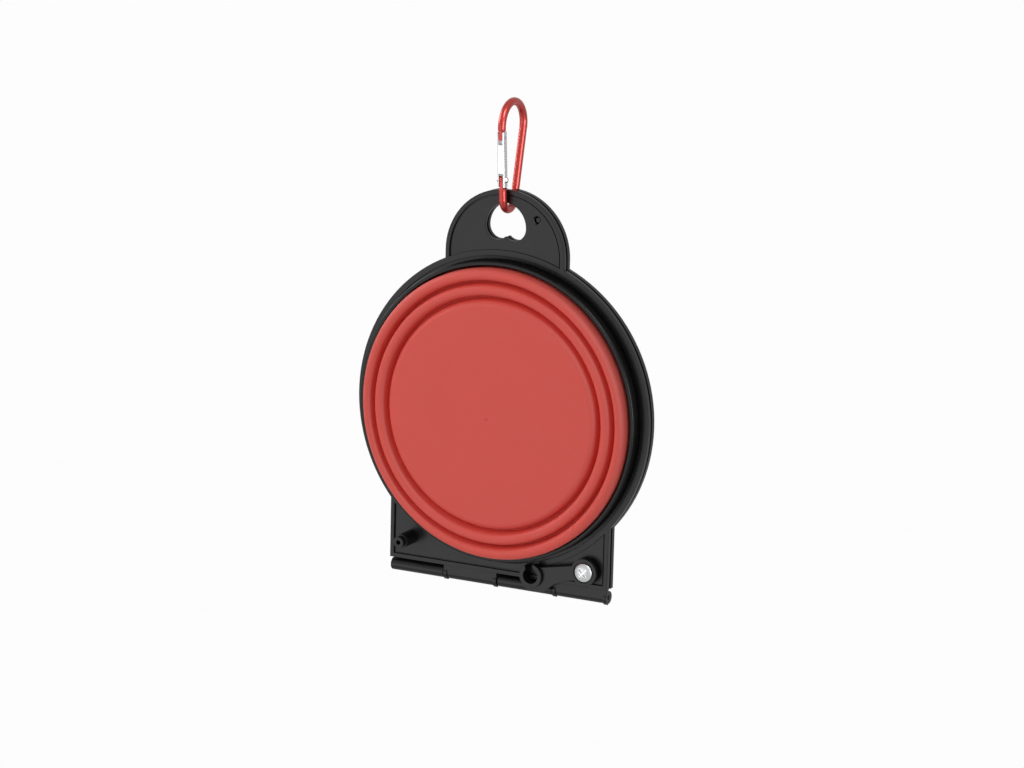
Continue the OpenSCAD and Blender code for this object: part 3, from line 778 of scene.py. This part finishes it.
class BOWL_OT_stage(bpy.types.Operator):
    """Set the pale floor, the soft light and the camera"""

    bl_idname = "travel_bowl.stage"
    bl_label = "Stage"

    def execute(self, context):
        scene = context.scene
        sizes = scene.bowl_stage
        self.floor(sizes)
        self.light(scene, sizes)
        self.camera(scene, sizes)
        return {"FINISHED"}

    def floor(self, sizes):
        """A floor and a round backdrop that only the camera sees."""
        drop = Vector((0, 0, CAD_BOX[0].z - sizes.floor_drop))
        white = floor_finish()
        ground = bmesh.new()
        bmesh.ops.create_grid(ground, x_segments=1, y_segments=1, size=sizes.room)
        wall = bmesh.new()
        bmesh.ops.create_cone(
            wall,
            segments=BACKDROP_SEGMENTS,
            radius1=sizes.room,
            radius2=sizes.room,
            depth=2 * sizes.room,
            cap_ends=False,
        )
        bmesh.ops.reverse_faces(wall, faces=wall.faces)
        for name, bm in (("floor", ground), ("backdrop", wall)):
            bmesh.ops.translate(bm, verts=bm.verts, vec=drop)
            made = piece(bm, name, white)
            made.visible_diffuse = False
            made.visible_glossy = False

    def light(self, scene, sizes):
        """Even light from all round, and square soft lamps that face the bowls."""
        world = scene.world or bpy.data.worlds.new("studio")
        scene.world = world
        world.use_nodes = True
        sky = world.node_tree.nodes["Background"]
        sky.inputs["Color"].default_value = shade(WHITE, 1)
        sky.inputs["Strength"].default_value = sizes.sky
        for lamp in LAMPS:
            light = bpy.data.lights.new(lamp.name, "AREA")
            light.shape = "SQUARE"
            light.size = lamp.width
            light.energy = lamp.power
            made = bpy.data.objects.new(lamp.name, light)
            made.location = lamp.place
            made.rotation_euler = (BOWL_CENTRE - Vector(lamp.place)).to_track_quat("-Z", "Y").to_euler()
            made.visible_camera = False
            made.visible_diffuse = not lamp.gleam
            made.visible_glossy = lamp.gleam
            scene.collection.objects.link(made)
        scene.view_settings.view_transform = "Standard"

    def camera(self, scene, sizes):
        """A camera at the photo's place, turned as it was."""
        lens = bpy.data.cameras.new("photo_camera")
        lens.lens = sizes.lens
        lens.sensor_width = FILM_W
        lens.clip_end = SIGHT
        camera = bpy.data.objects.new("photo_camera", lens)
        turn = (
            Matrix.Rotation(sizes.yaw, 4, "Z")
            @ Matrix.Rotation(sizes.pitch, 4, "X")
            @ Matrix.Rotation(sizes.roll, 4, "Y")
            @ Matrix.Rotation(FULL_TURN / 4, 4, "X")
        )
        camera.matrix_world = Matrix.Translation(BOWL_CENTRE + Vector(sizes.place)) @ turn
        scene.collection.objects.link(camera)
        scene.camera = camera


class BOWL_PT_sidebar(bpy.types.Panel):
    """Lists the steps that build the travel bowl"""

    bl_idname = "BOWL_PT_sidebar"
    bl_label = "Travel bowl"
    bl_space_type = "VIEW_3D"
    bl_region_type = "UI"
    bl_category = "Travel bowl"

    def draw(self, context):
        for operator in OPERATORS:
            self.layout.operator(operator.bl_idname)


OPERATORS = (
    BOWL_OT_silicone,
    BOWL_OT_plates,
    BOWL_OT_latches,
    BOWL_OT_carabiner,
    BOWL_OT_stage,
)
GROUPS = {
    "bowl_silicone": SiliconeSizes,
    "bowl_ring": RingSizes,
    "bowl_edges": EdgeSizes,
    "bowl_finishes": Finishes,
    "bowl_stage": StageSizes,
}


def register():
    for kind in (*GROUPS.values(), *OPERATORS, BOWL_PT_sidebar):
        bpy.utils.register_class(kind)
    for name, group in GROUPS.items():
        setattr(bpy.types.Scene, name, PointerProperty(type=group))


def unregister():
    for name in GROUPS:
        delattr(bpy.types.Scene, name)
    for kind in (BOWL_PT_sidebar, *OPERATORS, *GROUPS.values()):
        bpy.utils.unregister_class(kind)


def main():
    register()
    bpy.ops.travel_bowl.silicone()
    bpy.ops.travel_bowl.plates()
    bpy.ops.travel_bowl.latches()
    bpy.ops.travel_bowl.carabiner()
    bpy.ops.travel_bowl.stage()


if __name__ == "__main__":
    main()
